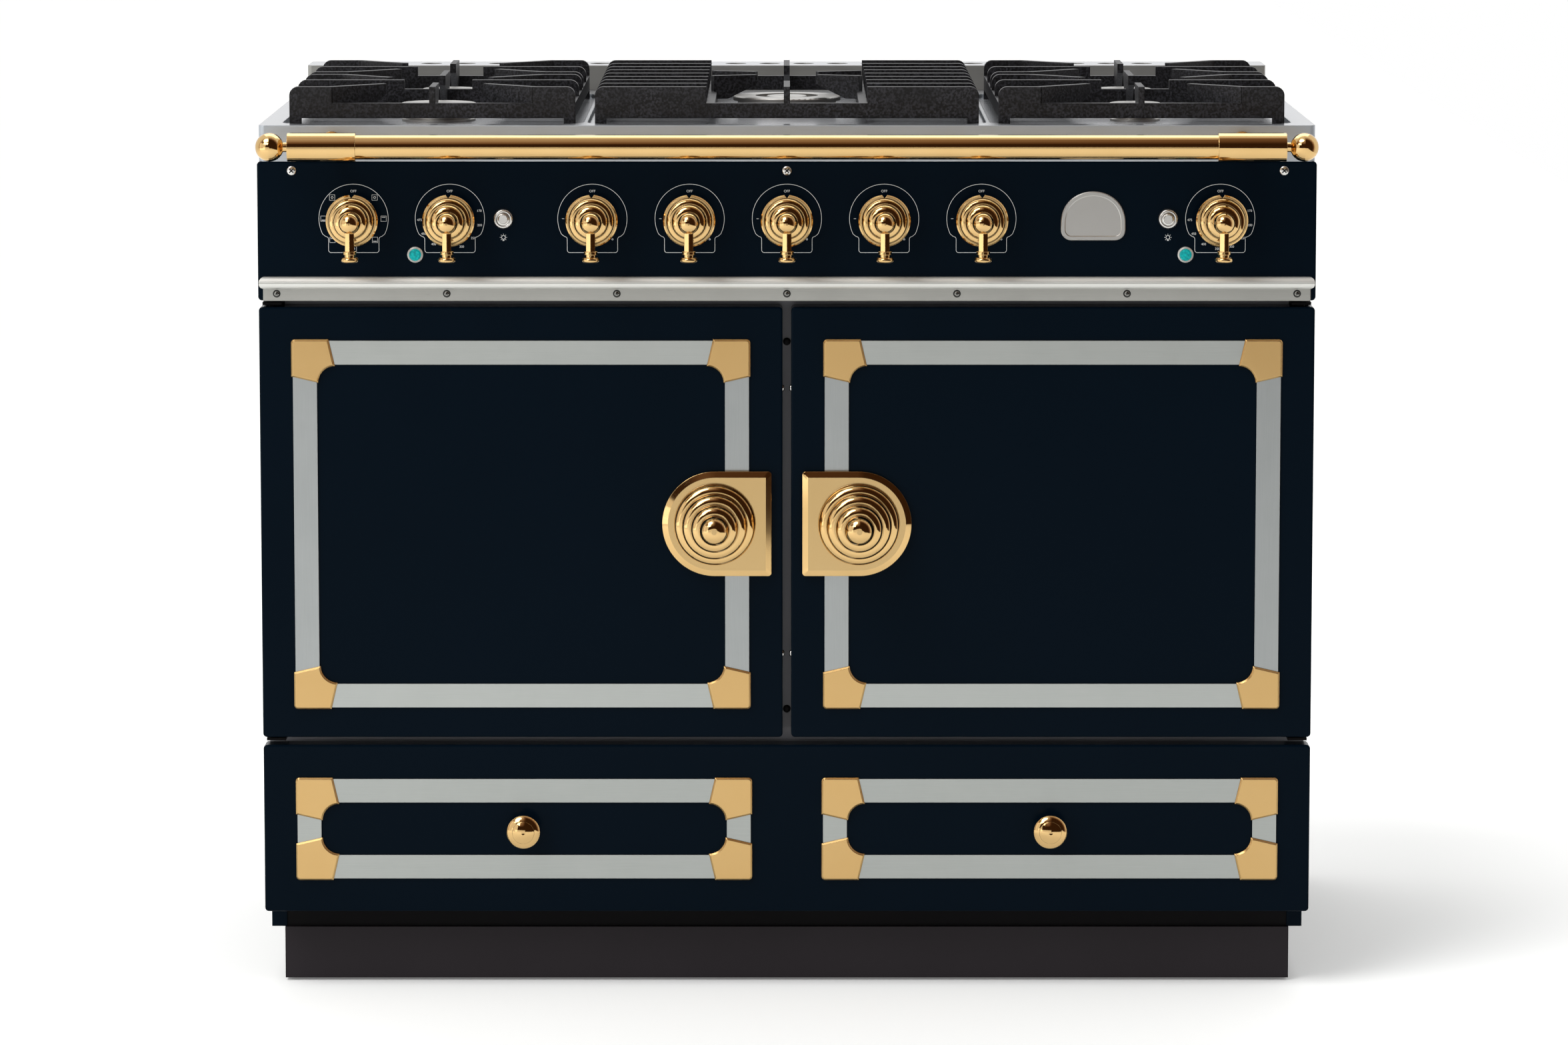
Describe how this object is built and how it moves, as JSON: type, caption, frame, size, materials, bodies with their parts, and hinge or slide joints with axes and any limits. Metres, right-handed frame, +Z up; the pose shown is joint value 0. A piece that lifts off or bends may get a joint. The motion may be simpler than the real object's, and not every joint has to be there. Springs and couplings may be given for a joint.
{
  "type": "range cooker",
  "caption": "Free-standing range cooker with side-hung oven doors, a storage drawer, a gas hob under cast grates, stepped knobs with levers and a towel rail.",
  "frame": {"origin": "on the floor below the middle of the part's outline, handles included", "axes": "+X to the right as seen from the front, +Y to the back, +Z up"},
  "size_m": [1.1, 0.724, 0.95],
  "materials": {
    "navy_enamel": "deep navy vitreous enamel",
    "black_enamel": "satin black enamel",
    "oven_enamel": "dark grey oven enamel",
    "satin_steel": "brushed stainless strip",
    "hob_steel": "brushed stainless sheet",
    "polished_brass": "polished brass",
    "satin_brass": "satin brass",
    "cast_iron": "matt black cast iron",
    "burner_alloy": "cast alloy",
    "tap_brass": "plain machined brass",
    "zinc_steel": "zinc-coated sheet steel",
    "rack_chrome": "chromed wire",
    "element_steel": "dark heat-tinted tube",
    "seal_rubber": "black gasket",
    "switch_plastic": "black moulded plastic",
    "button_steel": "polished metal cap",
    "lamp_lens": "teal tinted lens"
  },
  "bodies": {
    "chassis": {"control_panel": "navy_enamel", "side_panel_left": "navy_enamel", "side_panel_right": "navy_enamel", "plinth": "black_enamel", "front_frame": "black_enamel", "oven_cavity_left": "oven_enamel", "oven_cavity_right": "oven_enamel", "panel_trim": "satin_steel", "hob_top": "hob_steel", "rear_vent": "hob_steel", "towel_rail": "polished_brass", "burner_bases": "burner_alloy", "burner_caps": "burner_alloy", "gas_manifold": "tap_brass", "back_panel": "zinc_steel", "base_tray": "zinc_steel", "drawer_runners": "zinc_steel", "hinge_brackets": "zinc_steel", "fan_housings": "zinc_steel", "levelling_feet": "zinc_steel", "oven_racks": "rack_chrome", "heating_elements": "element_steel", "oven_seals": "seal_rubber", "oven_controls": "switch_plastic", "pilot_lamps": "lamp_lens"},
    "door_left": {"door_panel_left": "navy_enamel", "door_liner_left": "oven_enamel", "door_trim_left": "satin_steel", "door_corners_left": "satin_brass", "door_handle_left": "polished_brass"},
    "door_right": {"door_panel_right": "navy_enamel", "door_liner_right": "oven_enamel", "door_trim_right": "satin_steel", "door_corners_right": "satin_brass", "door_handle_right": "polished_brass"},
    "drawer": {"drawer_front": "navy_enamel", "drawer_box": "zinc_steel", "drawer_trim": "satin_steel", "drawer_corners": "satin_brass", "drawer_knobs": "polished_brass"},
    "grate_left": {"grate_left": "cast_iron"},
    "grate_centre": {"grate_centre": "cast_iron"},
    "grate_right": {"grate_right": "cast_iron"},
    "fan_left": {"oven_fan_left": "zinc_steel"},
    "fan_right": {"oven_fan_right": "zinc_steel"},
    "knob_selector": {"knob_selector": "polished_brass"},
    "knob_left_oven": {"knob_left_oven": "polished_brass"},
    "knob_right_oven": {"knob_right_oven": "polished_brass"},
    "light_button_left": {"light_button_left": "button_steel"},
    "light_button_right": {"light_button_right": "button_steel"},
    "tap_cone_1": {"tap_cone_1": "tap_brass"},
    "knob_burner_1": {"knob_burner_1": "polished_brass"},
    "tap_cone_2": {"tap_cone_2": "tap_brass"},
    "knob_burner_2": {"knob_burner_2": "polished_brass"},
    "tap_cone_3": {"tap_cone_3": "tap_brass"},
    "knob_burner_3": {"knob_burner_3": "polished_brass"},
    "tap_cone_4": {"tap_cone_4": "tap_brass"},
    "knob_burner_4": {"knob_burner_4": "polished_brass"},
    "tap_cone_5": {"tap_cone_5": "tap_brass"},
    "knob_burner_5": {"knob_burner_5": "polished_brass"}
  },
  "joints": [
    {"name": "door_left_hinge", "type": "hinge", "parent": "chassis", "child": "door_left", "pos_m": [-0.536, -0.273, 0.49595], "axis": [0, 0, -1], "range_deg": [0, 100]},
    {"name": "door_right_hinge", "type": "hinge", "parent": "chassis", "child": "door_right", "pos_m": [0.536, -0.273, 0.49595], "axis": [0, 0, 1], "range_deg": [0, 100]},
    {"name": "drawer_slide", "type": "slide", "parent": "chassis", "child": "drawer", "axis": [0, -1, 0], "range_m": [0, 0.4]},
    {"name": "grate_left_lift", "type": "slide", "parent": "chassis", "child": "grate_left", "axis": [0, 0, 1], "range_m": [0, 0.06]},
    {"name": "grate_centre_lift", "type": "slide", "parent": "chassis", "child": "grate_centre", "axis": [0, 0, 1], "range_m": [0, 0.06]},
    {"name": "grate_right_lift", "type": "slide", "parent": "chassis", "child": "grate_right", "axis": [0, 0, 1], "range_m": [0, 0.06]},
    {"name": "fan_left_spin", "type": "hinge", "parent": "chassis", "child": "fan_left", "pos_m": [-0.277, 0.178, 0.49595], "axis": [0, 1, 0], "continuous": true},
    {"name": "fan_right_spin", "type": "hinge", "parent": "chassis", "child": "fan_right", "pos_m": [0.277, 0.178, 0.49595], "axis": [0, 1, 0], "continuous": true},
    {"name": "knob_selector_turn", "type": "hinge", "parent": "chassis", "child": "knob_selector", "pos_m": [-0.45, -0.288, 0.815], "axis": [0, 1, 0], "continuous": true},
    {"name": "knob_left_oven_turn", "type": "hinge", "parent": "chassis", "child": "knob_left_oven", "pos_m": [-0.35, -0.288, 0.815], "axis": [0, 1, 0], "range_deg": [0, 290]},
    {"name": "knob_right_oven_turn", "type": "hinge", "parent": "chassis", "child": "knob_right_oven", "pos_m": [0.45, -0.288, 0.815], "axis": [0, 1, 0], "range_deg": [0, 290]},
    {"name": "tap_1_turn", "type": "hinge", "parent": "chassis", "child": "tap_cone_1", "pos_m": [-0.202, -0.288, 0.815], "axis": [0, -1, 0], "range_deg": [0, 210]},
    {"name": "knob_burner_1_push", "type": "slide", "parent": "tap_cone_1", "child": "knob_burner_1", "axis": [0, 1, 0], "range_m": [0, 0.004], "stiffness_N_per_m": 1500},
    {"name": "tap_2_turn", "type": "hinge", "parent": "chassis", "child": "tap_cone_2", "pos_m": [-0.101, -0.288, 0.815], "axis": [0, -1, 0], "range_deg": [0, 210]},
    {"name": "knob_burner_2_push", "type": "slide", "parent": "tap_cone_2", "child": "knob_burner_2", "axis": [0, 1, 0], "range_m": [0, 0.004], "stiffness_N_per_m": 1500},
    {"name": "tap_3_turn", "type": "hinge", "parent": "chassis", "child": "tap_cone_3", "pos_m": [0, -0.288, 0.815], "axis": [0, -1, 0], "range_deg": [0, 210]},
    {"name": "knob_burner_3_push", "type": "slide", "parent": "tap_cone_3", "child": "knob_burner_3", "axis": [0, 1, 0], "range_m": [0, 0.004], "stiffness_N_per_m": 1500},
    {"name": "tap_4_turn", "type": "hinge", "parent": "chassis", "child": "tap_cone_4", "pos_m": [0.101, -0.288, 0.815], "axis": [0, -1, 0], "range_deg": [0, 210]},
    {"name": "knob_burner_4_push", "type": "slide", "parent": "tap_cone_4", "child": "knob_burner_4", "axis": [0, 1, 0], "range_m": [0, 0.004], "stiffness_N_per_m": 1500},
    {"name": "tap_5_turn", "type": "hinge", "parent": "chassis", "child": "tap_cone_5", "pos_m": [0.202, -0.288, 0.815], "axis": [0, -1, 0], "range_deg": [0, 210]},
    {"name": "knob_burner_5_push", "type": "slide", "parent": "tap_cone_5", "child": "knob_burner_5", "axis": [0, 1, 0], "range_m": [0, 0.004], "stiffness_N_per_m": 1500},
    {"name": "light_button_left_push", "type": "slide", "parent": "chassis", "child": "light_button_left", "axis": [0, 1, 0], "range_m": [0, 0.003], "stiffness_N_per_m": 900},
    {"name": "light_button_right_push", "type": "slide", "parent": "chassis", "child": "light_button_right", "axis": [0, 1, 0], "range_m": [0, 0.003], "stiffness_N_per_m": 900}
  ]
}
